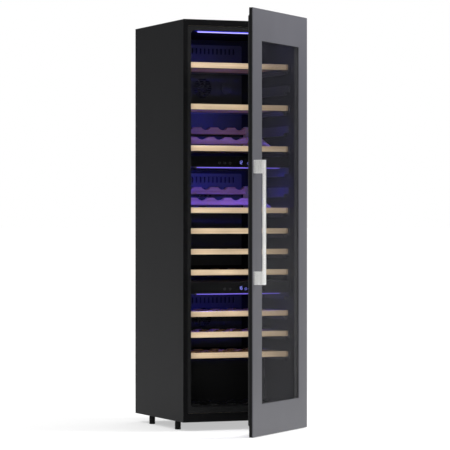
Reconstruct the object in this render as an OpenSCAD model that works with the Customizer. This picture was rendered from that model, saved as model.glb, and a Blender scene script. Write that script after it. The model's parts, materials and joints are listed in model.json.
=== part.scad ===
// Tall built-in wine cooler: steel cabinet, three cooled zones, ten pull-out beech shelves
// and an overlay glass door hung on pins at the right. The door stands open at door_angle.
// Origin: on the floor, midway between the four feet. +X right, +Y to the back, +Z up.

/* [Cabinet] */
// Width of the steel cabinet
body_w = 556; // [552:1:560]
// Depth of the steel cabinet without the door
body_d = 595; // [590:1:620]
// Height of the steel cabinet without the feet
body_h = 1735; // [1733:1:1737]
// Height at which the feet hold the cabinet
foot_h = 38; // [38:1:45]
// Depth of the front feet behind the cabinet's front
foot_front = 116; // [90:1:130]
// Distance between the front feet and the rear feet
foot_span = 316; // [300:1:330]

/* [Opening] */
// Width of the side bars of the front frame
side_bar = 36; // [34:1:38]
// Height of the front frame's top bar
top_bar = 47; // [44:1:50]
// Height of the front frame's bottom bar
bottom_bar = 64; // [60:1:66]
// Corner radius of the cooled space
corner_r = 17; // [10:1:20]
// Depth of the cooled space
liner_d = 505; // [500:1:510]
// Depth of the cooled space in front of the machine compartment
low_d = 320; // [310:1:330]

/* [Door] */
// Width of the door panel
door_w = 595; // [590:1:600]
// Height of the door panel
door_h = 1790; // [1785:1:1792]
// Width of the door panel's stiles
stile_w = 95; // [80:1:110]
// Height of the door panel's rails
rail_h = 134; // [120:1:150]
// Angle at which the door stands open
door_angle = 43.6; // [0:0.2:110]
// Length of the handle
handle_l = 520; // [400:10:700]
// Distance of the handle's bar from the door
handle_gap = 38; // [30:1:45]

/* [Shelves] */
// Tops of the ten shelves above the floor, from the uppermost down
shelf_tops = [1592, 1412, 1232, 963, 873, 783, 693, 513, 423, 333];
// Height of a shelf's front board
fascia_h = 23.5; // [20:0.5:25]
// Distance of a shelf's front board behind the cabinet's front
fascia_y = 50; // [50:1:55]
// Width of a shelf's front board
fascia_w = 470; // [466:1:470]
// Distance between the cradles for two bottles
bottle_pitch = 82; // [78:1:84]

/* [Zones] */
// Underside of the upper divider above the floor
upper_div_z = 1140; // [1138:1:1142]
// Height of the upper divider
upper_div_h = 46; // [44:1:47]
// Underside of the lower divider above the floor
lower_div_z = 591; // [590:1:592]
// Height of the lower divider
lower_div_h = 50; // [46:1:50]

/* [Hidden] */
$fn = 64;

eps = 0.5;
sheet = 1.2;
front = -foot_front - foot_span / 2;
rear = front + body_d;
base_z = foot_h;
top_z = base_z + body_h;
half_w = body_w / 2;
foot_r = 13;
stem_r = 5;

// the cooled space
open_w = body_w - 2 * side_bar;
open_z0 = base_z + bottom_bar;
open_z1 = top_z - top_bar;
wall = 2.5;
step_z = base_z + 250;
bulkhead_y = front + 345;
bulkhead_z = base_z + 238;
flange_side = 15.5;
flange_top = 20;
flange_bottom = 26;

// the door, drawn shut and then swung about its pins
door_t = 18;
panel_back = front - 19;
panel_face = panel_back - door_t;
door_z0 = base_z - 35;
door_z1 = door_z0 + door_h;
hinge_x = half_w - 5.5;
hinge_y = front - 28;
pin_r = 4;
running = 0.05;
skin = 1.5;
glass_t = 4;
glass_lap = 10;
win_w = door_w - 2 * stile_w;
win_h = door_h - 2 * rail_h;
door_mid_z = (door_z0 + door_z1) / 2;
post_h = 56;
bar_w = 12;
bar_t = 13;
handle_x = -door_w / 2 + 9.5;

// brackets and pins of the hinges
arm_t = 4;
pin_l = 20;
notch_gap = 2.5;

// the shelves: steel runners under a beech board
shelf_back = front + 462;
board_top = 3;
board_t = 16;
runner_drop = 30;
stringer_w = 16;
batten_d = 28;
batten_gap = 80;
battens = 5;
cradles = 5;
cradle_r = 44;
cradle_cut = 8;

// the supports on the liner's side walls
pitch = 90;
support_h = 41.7;
support_t = 6;
ledge_w = 16;
ledge_play = 0.4;
support_levels = [
    for (t = [1232 : pitch : 1600]) t,
    for (t = [693 : pitch : 1150]) t,
    for (t = [333 : pitch : 610]) t
];

// the air ducts at the back of the three zones: underside, top and fan height
duct_d = 35;
duct_w = 380;
duct_y = front + liner_d - duct_d;
ducts = [[1245, 1700, 1505], [705, 1120, 1010], [335, 575, 470]];
duct_wall = 2.5;
fan_y = 5;
fan_t = 12;
fan_r = 42;
fan_hub_r = 13;
hub_cap = 3;
shaft_r = 1.5;
led_l = 404;
led_h = 6;

// the machine compartment
cfan_x = -20;
cfan_y = front + 465;
cfan_z = base_z + 115;
cfan_r = 60;
cfan_t = 15;

// ---------- shared shapes ----------

// A rectangle with round corners, centred.
module round_rect(w, h, r) {
    square([w - 2 * r, h], center = true);
    square([w, h - 2 * r], center = true);
    for (x = [-1, 1], z = [-1, 1])
        translate([x * (w / 2 - r), z * (h / 2 - r)]) circle(r);
}

// Stands a drawing of x and z upright, filling y0 to y1.
module upright(y0, y1) {
    translate([0, y1, 0]) rotate([90, 0, 0]) linear_extrude(y1 - y0) children();
}

// A block from its lowest to its highest corner.
module block(a, b) {
    translate(a) cube(b - a);
}

// The same on both sides of the middle plane.
module both_sides() {
    children();
    mirror([1, 0, 0]) children();
}

// Swings the closed door's pieces to where the door stands.
module swung() {
    translate([hinge_x, hinge_y, 0]) rotate([0, 0, door_angle])
        translate([-hinge_x, -hinge_y, 0]) children();
}

// The cooled space, grown by g on all its walls.
module cooled_space(g, y0) {
    difference() {
        upright(y0, front + liner_d + g)
            translate([0, (open_z0 + open_z1) / 2])
                round_rect(open_w + 2 * g, open_z1 - open_z0 + 2 * g, corner_r + g);
        block([-half_w, front + low_d + g, base_z - 1], [half_w, rear, step_z - g]);
    }
}

// A row of n round cuts along x, for cradles of radius r that reach depth below z_top.
module cradle_cuts(n, step, r, depth, z_top, y0, y1) {
    for (i = [0 : n - 1])
        translate([(i - (n - 1) / 2) * step, y0 - eps, z_top + r - depth])
            rotate([-90, 0, 0]) cylinder(h = y1 - y0 + 2 * eps, r = r);
}

// ---------- cabinet ----------

module outer_casing() {
    color([0.17, 0.17, 0.18]) difference() {
        block([-half_w, front, base_z], [half_w, rear, top_z]);
        block([-half_w + sheet, front - eps, base_z - eps], [half_w - sheet, rear + eps, top_z - sheet]);
    }
}

// Floor tray with the bulkhead that closes the machine compartment off.
module base_pan() {
    inner = half_w - sheet;
    color([0.2, 0.2, 0.21]) {
        difference() {
            block([-inner, front + 2, base_z], [inner, rear - 2, base_z + 26]);
            block([-inner + 2, front + 4, base_z + 2], [inner - 2, rear, base_z + 27]);
            block([-inner - eps, bulkhead_y, base_z + 2], [inner + eps, rear, base_z + 27]);
            for (x = [-1, 1], y = [-1, 1])
                translate([x * (half_w - 20), y * foot_span / 2, base_z - eps])
                    cylinder(h = 3, r = stem_r + 0.1);
            for (x = [-150 : 60 : 150])
                block([x - 20, bulkhead_y + 40, base_z - eps], [x + 20, bulkhead_y + 46, base_z + 3]);
        }
        block([-inner, bulkhead_y - 2, base_z + 2], [inner, bulkhead_y, bulkhead_z]);
        block([-inner, bulkhead_y - 2, bulkhead_z], [inner, rear - 2, bulkhead_z + 2]);
    }
}

module rear_panel() {
    y0 = rear - 2;
    color([0.25, 0.25, 0.26]) difference() {
        block([-half_w + sheet, y0, bulkhead_z + 2], [half_w - sheet, y0 + sheet, top_z - sheet]);
        both_sides() for (z = [bulkhead_z + 20 : 365 : top_z - 20])
            translate([half_w - 14, y0 - eps, z]) rotate([-90, 0, 0]) cylinder(h = 3, r = 1.8);
    }
}

// Vented cover of the machine compartment, with a window for the mains inlet.
module rear_grille() {
    y0 = rear - 2;
    color([0.25, 0.25, 0.26]) difference() {
        block([-half_w + sheet, y0, base_z + 2], [half_w - sheet, y0 + sheet, bulkhead_z]);
        for (i = [0 : 7], x = [-225, -115, -5, 105])
            block([x, y0 - eps, base_z + 24 + i * 25], [x + 90, y0 + 2, base_z + 34 + i * 25]);
        block([222, y0 - eps, base_z + 86], [262, y0 + 2, base_z + 124]);
    }
}

// Steel front frame around the liner's flange.
module front_bezel() {
    in_w = open_w + 2 * flange_side;
    in_z0 = open_z0 - flange_bottom;
    in_z1 = open_z1 + flange_top;
    color([0.055, 0.059, 0.063]) difference() {
        block([-half_w + sheet, front, base_z], [half_w - sheet, front + 2, top_z - sheet]);
        upright(front - eps, front + 2 + eps) translate([0, (in_z0 + in_z1) / 2])
            round_rect(in_w, in_z1 - in_z0, 4);
    }
}

module foam_insulation() {
    inner = half_w - sheet;
    color([0.9, 0.86, 0.7]) difference() {
        block([-inner, front + 4, base_z + 26], [inner, rear - 2, top_z - sheet]);
        cooled_space(wall, front - eps);
        block([-half_w, bulkhead_y - 2, base_z - eps], [half_w, rear, bulkhead_z + 2]);
    }
}

// Moulded liner with its front flange and two low cradles on its floor.
module inner_liner() {
    fl_z0 = open_z0 - flange_bottom;
    fl_z1 = open_z1 + flange_top;
    color([0.1, 0.1, 0.11]) {
        difference() {
            union() {
                cooled_space(wall, front + 1);
                upright(front + 0.8, front + 3.2) translate([0, (fl_z0 + fl_z1) / 2])
                    round_rect(open_w + 2 * flange_side - 1, fl_z1 - fl_z0 - 1, 4);
            }
            cooled_space(0, front - eps);
        }
        for (y = [34, 232]) difference() {
            block([-open_w / 2 + 17, front + y, open_z0 - 1],
                [open_w / 2 - 17, front + y + 16, open_z0 + 11]);
            cradle_cuts(cradles, bottle_pitch, cradle_r, cradle_cut,
                open_z0 + 11, front + y, front + y + 16);
        }
    }
}

// Highest point that a support may reach under the divider above it.
function support_top(t) =
    t > upper_div_z - 1 && t < upper_div_z + 40 ? upper_div_z - eps :
    t > lower_div_z - 1 && t < lower_div_z + 40 ? lower_div_z - eps : t;

// Stepped runners on both side walls, one pair at each shelf level.
module shelf_supports() {
    x1 = open_w / 2;
    color([0.07, 0.07, 0.08]) both_sides() for (t = support_levels) {
        ledge_z = t - runner_drop - ledge_play;
        block([x1 - support_t, front + 43, ledge_z], [x1, front + 466, support_top(t)]);
        block([x1 - ledge_w, front + 72, t - support_h], [x1, front + 466, ledge_z]);
    }
}

// Insulated hollow board between two zones, behind its control panel.
module divider(z0, h) {
    shell = 3;
    color([0.08, 0.08, 0.09]) translate([0, 0, z0 + h / 2]) difference() {
        upright(front + 62, front + liner_d) round_rect(open_w - 1, h, 3);
        upright(front + 62 + shell, front + liner_d - shell)
            square([open_w - 1 - 2 * shell, h - 2 * shell], center = true);
    }
}

module upper_divider() { divider(upper_div_z, upper_div_h); }
module lower_divider() { divider(lower_div_z, lower_div_h); }

module control_panel(z0, h) {
    color([0.03, 0.03, 0.03]) upright(front + 50, front + 62) translate([0, z0 + h / 2])
        round_rect(open_w - 1, h, 2);
}

module upper_control_panel() { control_panel(upper_div_z, upper_div_h); }
module lower_control_panel() { control_panel(lower_div_z, lower_div_h); }

// One lamp under the ceiling and one under each control panel.
module led_bars() {
    color([0.75, 0.78, 1]) for (p = [[40, open_z1], [51, upper_div_z], [51, lower_div_z]])
        upright(front + p[0], front + p[0] + 10) translate([0, p[1] - led_h / 2])
            square([led_l, led_h], center = true);
}

// ---------- air and cold ----------

// A round grille: horizontal slots inside a circle.
module slotted_disc(r, slot, step) {
    intersection() {
        circle(r);
        for (z = [-4 : 4]) translate([0, z * step]) square([2 * r, slot], center = true);
    }
}

// A pressed cover with a fan grille, and outlet slots near its top.
module air_duct(d) {
    color([0.09, 0.09, 0.1]) {
        difference() {
            upright(duct_y, front + liner_d) translate([0, (d[0] + d[1]) / 2])
                round_rect(duct_w, d[1] - d[0], 8);
            upright(duct_y + duct_wall, front + liner_d + eps) translate([0, (d[0] + d[1]) / 2])
                round_rect(duct_w - 2 * duct_wall, d[1] - d[0] - 2 * duct_wall, 6);
            upright(duct_y - eps, duct_y + duct_wall + eps) {
                translate([0, d[2]]) slotted_disc(fan_r + 2, 5, 10);
                for (x = [-150 : 20 : 150]) translate([x, d[1] - 28]) square([8, 26], center = true);
            }
        }
    }
}

module upper_air_duct() { air_duct(ducts[0]); }
module middle_air_duct() { air_duct(ducts[1]); }
module lower_air_duct() { air_duct(ducts[2]); }

// A motor can with its shaft along Y: shaft from y0 to y1, can from can_y to y1.
module motor(y0, y1, can_y, can_r) {
    rotate([-90, 0, 0]) {
        translate([0, 0, y0]) cylinder(h = y1 - y0, r = shaft_r);
        translate([0, 0, can_y]) cylinder(h = y1 - can_y, r = can_r);
    }
}

module fan_motors() {
    tip = hub_cap + 1;
    color([0.3, 0.3, 0.32]) {
        for (d = ducts) translate([0, duct_y + fan_y, d[2]])
            motor(tip, duct_d - fan_y, fan_t + 5, 12);
        translate([cfan_x, cfan_y, cfan_z]) rotate([0, 0, -90]) motor(tip, 46, cfan_t + 5, 17);
        block([cfan_x + 46, cfan_y - 20, base_z + 2], [cfan_x + 49, cfan_y + 20, cfan_z + 20]);
    }
}

// A rotor: hub with pitched blades about Z, from z = 0 to t, with a bore for the shaft.
module rotor(r, hub_r, t, blades) {
    difference() {
        union() {
            cylinder(h = t, r = hub_r);
            for (i = [0 : blades - 1]) rotate([0, 0, i * 360 / blades])
                translate([hub_r - 1.5, 0, t / 2]) rotate([32, 0, 0])
                    translate([0, -r * 0.21, -0.8]) cube([r - hub_r - 1.5, r * 0.42, 1.6]);
        }
        translate([0, 0, -eps]) cylinder(h = t - hub_cap + eps, r = shaft_r + running);
    }
}

// A zone's rotor on its motor's shaft.
module zone_fan(d) {
    color([0.15, 0.15, 0.16]) translate([0, duct_y + fan_y + fan_t, d[2]]) rotate([90, 0, 0])
        rotor(fan_r - 2, fan_hub_r, fan_t, 7);
}

module upper_fan() { zone_fan(ducts[0]); }
module middle_fan() { zone_fan(ducts[1]); }
module lower_fan() { zone_fan(ducts[2]); }

// Round filter caps, pushed into each duct cover beside the fan.
module charcoal_filters() {
    color([0.12, 0.12, 0.12]) for (d = ducts) translate([115, duct_y, d[2]])
        rotate([90, 0, 0]) difference() {
            cylinder(h = 4, r = 27);
            for (i = [0 : 11]) rotate([0, 0, i * 30]) translate([12, -1.5, 1.5]) cube([12, 3, 3]);
        }
}

// Finned evaporators inside the ducts, above or below the fans.
module evaporators() {
    y0 = duct_y + 8;
    color([0.75, 0.76, 0.78]) for (d = ducts) {
        z0 = d[0] + 12;
        for (z = [z0 + 12, z0 + 42]) translate([-160, y0 + 11, z])
            rotate([0, 90, 0]) cylinder(h = 320, r = 4);
        for (x = [-154 : 28 : 154]) block([x - 0.6, y0, z0], [x + 0.6, y0 + 22, z0 + 54]);
    }
}

// A hermetic pot on a mounting plate with four rubber feet, and its two stub pipes.
module compressor() {
    r = 68;
    edge = 24;
    translate([150, front + 462, base_z + 2]) {
        color([0.06, 0.06, 0.07]) {
            translate([0, 0, 14 + edge]) cylinder(h = 70, r = r);
            for (z = [14 + edge, 84 + edge]) translate([0, 0, z])
                rotate_extrude() translate([r - edge, 0]) circle(edge);
            translate([0, 0, 14]) cylinder(h = 70 + 2 * edge, r = r - edge);
            block([-85, -60, 11], [85, 60, 15]);
            for (x = [-70, 70], y = [-45, 45]) translate([x, y, 0]) cylinder(h = 12, r = 11);
            for (x = [-30, 30]) translate([x, 30, 110]) cylinder(h = 50, r = 4);
        }
    }
}

// Serpentine of copper tube through aluminium fins.
module condenser() {
    x0 = -240;
    x1 = -80;
    rise = 24;
    rows = 7;
    z0 = base_z + 24;
    y0 = front + 420;
    color([0.2, 0.2, 0.21]) translate([0, y0 + 45, z0]) {
        for (i = [0 : rows - 1]) translate([x0, 0, i * rise])
            rotate([0, 90, 0]) cylinder(h = x1 - x0, r = 4);
        for (i = [0 : rows - 2]) translate([i % 2 == 0 ? x1 : x0, 0, (i + 0.5) * rise])
            rotate([90, 0, 0]) rotate([0, 0, i % 2 == 0 ? -90 : 90])
                rotate_extrude(angle = 180) translate([rise / 2, 0]) circle(4);
        for (i = [0 : 9]) block([x0 + 5 + i * 16, -45, -14], [x0 + 6 + i * 16, 45, rows * rise - 10]);
        for (x = [x0 + 2, x1 - 4]) block([x, -50, -22], [x + 2, 50, rows * rise - 8]);
    }
}

module condenser_fan() {
    color([0.1, 0.1, 0.11]) translate([cfan_x + cfan_t, cfan_y, cfan_z]) rotate([0, -90, 0])
        rotor(cfan_r, 19, cfan_t, 5);
}

module drip_tray() {
    a = [66, front + 380, base_z + 178];
    b = [234, front + 560, base_z + 204];
    color([0.12, 0.12, 0.13]) difference() {
        block(a, b);
        block(a + [2, 2, 2], b + [-2, -2, 1]);
    }
}

// Electrical box with the recessed mains inlet facing the back.
module terminal_box() {
    y1 = rear - 0.8;
    color([0.08, 0.08, 0.08]) difference() {
        union() {
            block([226, front + 520, base_z + 60], [268, rear - 2.4, base_z + 160]);
            block([225, rear - 12, base_z + 89], [259, y1, base_z + 121]);
        }
        block([229, rear - 20, base_z + 94], [255, rear, base_z + 116]);
    }
}

// Stout round feet that turn up into the base pan on threaded stems.
module levelling_feet() {
    color([0.03, 0.03, 0.03]) for (x = [-1, 1], y = [-1, 1])
        translate([x * (half_w - 20), y * foot_span / 2, 0]) {
            cylinder(h = foot_h - 3, r = foot_r);
            cylinder(h = foot_h, r = foot_r - 3);
            cylinder(h = foot_h + 12, r = stem_r);
        }
}

// ---------- hinges ----------

// A bracket plate on the cabinet, with a cranked arm out to the pin.
module bracket(z0) {
    difference() {
        translate([0, 0, z0]) linear_extrude(arm_t) {
            translate([hinge_x - 80, front + 2]) square([75, 46]);
            polygon([
                [hinge_x - 19, front + 3], [hinge_x - 6, front + 3],
                [hinge_x + 6, hinge_y + 2.5], [hinge_x - 6, hinge_y - 1.5]
            ]);
            translate([hinge_x, hinge_y]) circle(6.5);
        }
        translate([hinge_x, hinge_y, z0 - eps]) cylinder(h = arm_t + 2 * eps, r = pin_r);
        for (x = [-66, -42, -18]) translate([hinge_x + x, front + 30, z0 - eps])
            cylinder(h = arm_t + 2 * eps, r = 2.7);
    }
}

module hinge_brackets() {
    color([0.35, 0.35, 0.37]) {
        bracket(top_z);
        bracket(base_z - arm_t);
    }
}

// A headed pin, standing from z = 0 with its head below.
module hinge_pin() {
    translate([0, 0, -1.8]) cylinder(h = 1.8, r = 5.8);
    cylinder(h = arm_t + pin_l - 1, r = pin_r);
    translate([0, 0, arm_t + pin_l - 1]) cylinder(h = 1, r1 = pin_r, r2 = pin_r - 1);
}

module hinge_pins() {
    color([0.7, 0.7, 0.72]) {
        translate([hinge_x, hinge_y, base_z - arm_t]) hinge_pin();
        translate([hinge_x, hinge_y, top_z + arm_t]) mirror([0, 0, 1]) hinge_pin();
    }
}

// A pan-head screw that seats on z = 0, its head above.
module pan_screw(shank_r, shank_l, head_r, head_h) {
    difference() {
        union() {
            cylinder(h = head_h, r = head_r);
            translate([0, 0, -shank_l]) cylinder(h = shank_l, r = shank_r);
        }
        translate([0, 0, head_h - 1]) cylinder(h = 2, r = head_r * 0.45, $fn = 6);
    }
}

module hinge_screws() {
    color([0.6, 0.6, 0.62]) for (x = [-66, -42, -18]) translate([hinge_x + x, front + 30, 0]) {
        translate([0, 0, top_z + arm_t]) pan_screw(2.5, arm_t, 4.6, 2.4);
        translate([0, 0, base_z - arm_t]) mirror([0, 0, 1]) pan_screw(2.5, arm_t, 4.6, 2.4);
    }
}

// ---------- door ----------

// The recess in the panel's back corner where a hinge arm turns.
module hinge_notch(z0, z1) {
    block([hinge_x - 15, panel_face + skin, z0], [door_w / 2 + 1, panel_back + 1, z1]);
}

// The hollows inside the folded sheet of the panel's two stiles and two rails.
module door_hollows() {
    y0 = panel_face + skin;
    y1 = panel_back - skin;
    x_out = door_w / 2 - skin;
    x_in = win_w / 2 + glass_lap + skin;
    z_in = win_h / 2 + glass_lap + skin;
    hinge_block = 75;
    block([-x_out, y0, door_z0 + skin], [-x_in, y1, door_z1 - skin]);
    block([x_in, y0, door_z0 + hinge_block], [x_out, y1, door_z1 - hinge_block]);
    for (z = [[door_z0 + skin, door_mid_z - z_in], [door_mid_z + z_in, door_z1 - skin]])
        block([-x_in + skin, y0, z[0]], [x_in - skin, y1, z[1]]);
}

// Steel panel frame: window, pocket for the glass pack, hinge recesses and pin bores.
module door_frame() {
    top_notch = top_z - notch_gap;
    low_notch = base_z + notch_gap;
    color([0.42, 0.42, 0.44]) swung() difference() {
        block([-door_w / 2, panel_face, door_z0], [door_w / 2, panel_back, door_z1]);
        door_hollows();
        upright(panel_face - eps, panel_back + eps) translate([0, door_mid_z])
            square([win_w, win_h], center = true);
        upright(panel_face + skin, panel_back + eps) translate([0, door_mid_z])
            square([win_w + 2 * glass_lap, win_h + 2 * glass_lap], center = true);
        hinge_notch(top_notch, top_z + arm_t + 3);
        hinge_notch(base_z - arm_t - 3, low_notch);
        translate([hinge_x, hinge_y, top_notch - pin_l]) cylinder(h = pin_l + eps, r = pin_r + running);
        translate([hinge_x, hinge_y, low_notch - eps]) cylinder(h = pin_l + eps, r = pin_r + running);
        for (z = [-1, 1])
            translate([handle_x + bar_w / 2, panel_face - eps, door_mid_z + z * (handle_l - post_h) / 2])
                rotate([-90, 0, 0]) cylinder(h = door_t + 1, r = 2.6);
    }
}

module pane(y0) {
    swung() upright(y0, y0 + glass_t) translate([0, door_mid_z])
        square([win_w + 2 * glass_lap - 1, win_h + 2 * glass_lap - 1], center = true);
}

module outer_glass() { color([0.1, 0.1, 0.11, 0.5]) pane(panel_face + skin); }
module inner_glass() { color([0.1, 0.1, 0.11, 0.5]) pane(panel_back - glass_t); }

module glass_spacer() {
    color([0.05, 0.05, 0.05]) swung() upright(panel_face + skin + glass_t, panel_back - glass_t)
        translate([0, door_mid_z]) difference() {
            square([win_w + 2 * glass_lap - 1, win_h + 2 * glass_lap - 1], center = true);
            square([win_w, win_h], center = true);
        }
}

// Plastic profile behind the panel, which holds the gasket.
module inner_frame() {
    z0 = base_z + 5;
    z1 = top_z - 5;
    w = body_w - 16;
    color([0.07, 0.07, 0.07]) swung() difference() {
        upright(panel_back, panel_back + 13) translate([0, (z0 + z1) / 2]) difference() {
            round_rect(w, z1 - z0, 3);
            round_rect(w - 92, z1 - z0 - 92, 6);
        }
        upright(panel_back + 8, panel_back + 14) translate([0, (z0 + z1) / 2]) difference() {
            round_rect(w - 14, z1 - z0 - 14, 3);
            round_rect(w - 42, z1 - z0 - 42, 3);
        }
    }
}

// Magnetic gasket: a root in the frame's groove and a wider lip against the cabinet.
module door_gasket() {
    z0 = base_z + 5;
    z1 = top_z - 5;
    w = body_w - 16;
    color([0.04, 0.04, 0.04]) swung() translate([0, 0, (z0 + z1) / 2]) {
        upright(panel_back + 8, panel_back + 13) difference() {
            round_rect(w - 15, z1 - z0 - 15, 3);
            round_rect(w - 41, z1 - z0 - 41, 3);
        }
        upright(panel_back + 13, panel_back + 18.6) difference() {
            round_rect(w - 10, z1 - z0 - 10, 4);
            round_rect(w - 50, z1 - z0 - 50, 4);
        }
    }
}

module handle_bar() {
    y1 = panel_face - handle_gap;
    color([0.85, 0.85, 0.84]) swung()
        block([handle_x, y1 - bar_t, door_mid_z - handle_l / 2],
            [handle_x + bar_w, y1, door_mid_z + handle_l / 2]);
}

// Posts with two fine grooves where the cap and the foot meet the stem.
module handle_posts() {
    color([0.75, 0.75, 0.74]) swung() for (s = [-1, 1]) {
        z = door_mid_z + s * (handle_l - post_h) / 2;
        difference() {
            block([handle_x, panel_face - handle_gap, z - post_h / 2],
                [handle_x + bar_w, panel_face, z + post_h / 2]);
            for (y = [9, handle_gap - 3]) difference() {
                block([handle_x - 1, panel_face - y - 0.5, z - post_h],
                    [handle_x + bar_w + 1, panel_face - y + 0.5, z + post_h]);
                block([handle_x + 0.5, panel_face - y - 1, z - post_h / 2 + 0.5],
                    [handle_x + bar_w - 0.5, panel_face - y + 1, z + post_h / 2 - 0.5]);
            }
            translate([handle_x + bar_w / 2, panel_face - 14, z])
                rotate([-90, 0, 0]) cylinder(h = 15, r = 2.5);
        }
    }
}

module handle_screws() {
    color([0.6, 0.6, 0.62]) swung() for (s = [-1, 1])
        translate([handle_x + bar_w / 2, panel_back, door_mid_z + s * (handle_l - post_h) / 2])
            rotate([-90, 0, 0]) pan_screw(2.5, door_t + 12, 4.6, 2.4);
}

// ---------- shelves ----------

// The beech board: front board, two stringers and scalloped battens between them.
module board(t) {
    x1 = fascia_w / 2;
    z1 = t - board_top;
    z0 = z1 - board_t;
    color([0.82, 0.71, 0.57]) {
        block([-x1, front + fascia_y, t - fascia_h], [x1, front + fascia_y + 18, t]);
        both_sides() block([x1 - 3 - stringer_w, front + fascia_y + 17, z0], [x1 - 3, shelf_back, z1]);
        for (i = [0 : battens - 1]) {
            y0 = front + fascia_y + 40 + i * batten_gap;
            difference() {
                block([-x1 + 3 + stringer_w - 1, y0, z0], [x1 - 2 - stringer_w, y0 + batten_d, z1]);
                cradle_cuts(cradles, bottle_pitch, cradle_r, cradle_cut, z1, y0, y0 + batten_d);
            }
        }
    }
}

// A board with a raised rack that tilts the bottles: two cheeks and two cradled rails.
module display_board(t) {
    x1 = fascia_w / 2 - 30;
    z1 = t - board_top;
    board(t);
    color([0.78, 0.66, 0.52]) {
        both_sides() translate([x1 - 12, 0, 0]) rotate([90, 0, 90]) linear_extrude(12)
            polygon([
                [front + 150, z1 - 1], [front + 460, z1 - 1], [front + 460, z1 + 102],
                [front + 430, z1 + 102]
            ]);
        for (r = [[270, 28, 34, 40], [432, 78, 26, 22]]) difference() {
            block([-x1 + 11, front + r[0], z1 + r[1] - 12],
                [x1 - 11, front + r[0] + 22, z1 + r[1] + 20]);
            cradle_cuts(cradles, bottle_pitch, r[2], 12,
                z1 + r[1] + 20, front + r[0], front + r[0] + 22);
        }
    }
}

// The steel frame under a board: two runners and two cross bars.
module shelf_frame(t) {
    x1 = fascia_w / 2 - 2;
    z1 = t - board_top - board_t;
    z0 = t - runner_drop;
    color([0.25, 0.25, 0.26]) {
        both_sides() block([x1 - 14, front + 73, z0], [x1, shelf_back, z1]);
        for (y = [94, 420]) block([-x1 + 13, front + y, z1 - 5], [x1 - 13, front + y + 12, z1]);
    }
}

module shelf_1() { board(shelf_tops[0]); }
module shelf_2() { board(shelf_tops[1]); }
module display_shelf_3() { display_board(shelf_tops[2]); }
module display_shelf_4() { display_board(shelf_tops[3]); }
module shelf_5() { board(shelf_tops[4]); }
module shelf_6() { board(shelf_tops[5]); }
module shelf_7() { board(shelf_tops[6]); }
module shelf_8() { board(shelf_tops[7]); }
module shelf_9() { board(shelf_tops[8]); }
module shelf_10() { board(shelf_tops[9]); }

outer_casing();
base_pan();
rear_panel();
rear_grille();
front_bezel();
foam_insulation();
inner_liner();
shelf_supports();
upper_divider();
lower_divider();
upper_control_panel();
lower_control_panel();
led_bars();
upper_air_duct();
middle_air_duct();
lower_air_duct();
fan_motors();
upper_fan();
middle_fan();
lower_fan();
charcoal_filters();
evaporators();
compressor();
condenser();
condenser_fan();
drip_tray();
terminal_box();
levelling_feet();
hinge_brackets();
hinge_pins();
hinge_screws();
door_frame();
outer_glass();
glass_spacer();
inner_glass();
inner_frame();
door_gasket();
handle_bar();
handle_posts();
handle_screws();
shelf_1();
shelf_2();
display_shelf_3();
display_shelf_4();
shelf_5();
shelf_6();
shelf_7();
shelf_8();
shelf_9();
shelf_10();
shelf_frame(shelf_tops[0]);  // shelf_frame_1
shelf_frame(shelf_tops[1]);  // shelf_frame_2
shelf_frame(shelf_tops[2]);  // shelf_frame_3
shelf_frame(shelf_tops[3]);  // shelf_frame_4
shelf_frame(shelf_tops[4]);  // shelf_frame_5
shelf_frame(shelf_tops[5]);  // shelf_frame_6
shelf_frame(shelf_tops[6]);  // shelf_frame_7
shelf_frame(shelf_tops[7]);  // shelf_frame_8
shelf_frame(shelf_tops[8]);  // shelf_frame_9
shelf_frame(shelf_tops[9]);  // shelf_frame_10
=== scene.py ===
import json
import math

import bpy
import numpy as np
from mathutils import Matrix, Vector


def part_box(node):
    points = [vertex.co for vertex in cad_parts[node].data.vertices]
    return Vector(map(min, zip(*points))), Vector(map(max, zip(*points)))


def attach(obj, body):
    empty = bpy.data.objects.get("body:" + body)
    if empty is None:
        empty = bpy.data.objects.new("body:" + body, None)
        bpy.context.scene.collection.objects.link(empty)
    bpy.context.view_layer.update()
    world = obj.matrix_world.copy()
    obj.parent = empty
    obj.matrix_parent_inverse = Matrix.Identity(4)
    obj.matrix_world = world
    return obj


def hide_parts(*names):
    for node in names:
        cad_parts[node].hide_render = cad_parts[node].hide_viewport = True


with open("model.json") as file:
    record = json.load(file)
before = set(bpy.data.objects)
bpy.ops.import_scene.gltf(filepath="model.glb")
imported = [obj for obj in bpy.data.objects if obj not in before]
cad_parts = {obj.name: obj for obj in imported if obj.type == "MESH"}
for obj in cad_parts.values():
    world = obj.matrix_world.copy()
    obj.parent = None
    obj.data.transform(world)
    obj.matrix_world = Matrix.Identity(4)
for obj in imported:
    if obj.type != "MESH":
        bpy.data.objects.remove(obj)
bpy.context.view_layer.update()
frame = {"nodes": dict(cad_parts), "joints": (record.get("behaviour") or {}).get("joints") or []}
nodes = frame["nodes"]

# ---------------------------------------------------------------- viewpoint
# A long lens, level with the middle of the cabinet. It stands eleven metres off and well to the
# left, so the casing's left side and the open door's outer face both show.
viewpoint = bpy.data.objects.new("viewpoint", bpy.data.cameras.new("viewpoint"))
viewpoint.data.sensor_width = 36
viewpoint.data.lens = 197.19
viewpoint.data.clip_end = 2000
viewpoint.location = (-4.1317, -10.1373, 0.8872)
viewpoint.rotation_euler = (math.radians(90), 0, math.radians(-22.31))
bpy.context.scene.collection.objects.link(viewpoint)
bpy.context.scene.camera = viewpoint

# ---------------------------------------------------------------- steel casing
# One sheet of 1.2 mm steel, folded over the top and down both sides. Its front and rear edges are
# folded back on themselves into 5 mm hems that stand a little proud of the powder-coated sides.
casing_lo, casing_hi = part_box("outer_casing")
front = casing_lo.y
sheet = 0.0012
fold = 0.003
hem = 0.005
hem_rise = 0.00035


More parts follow.
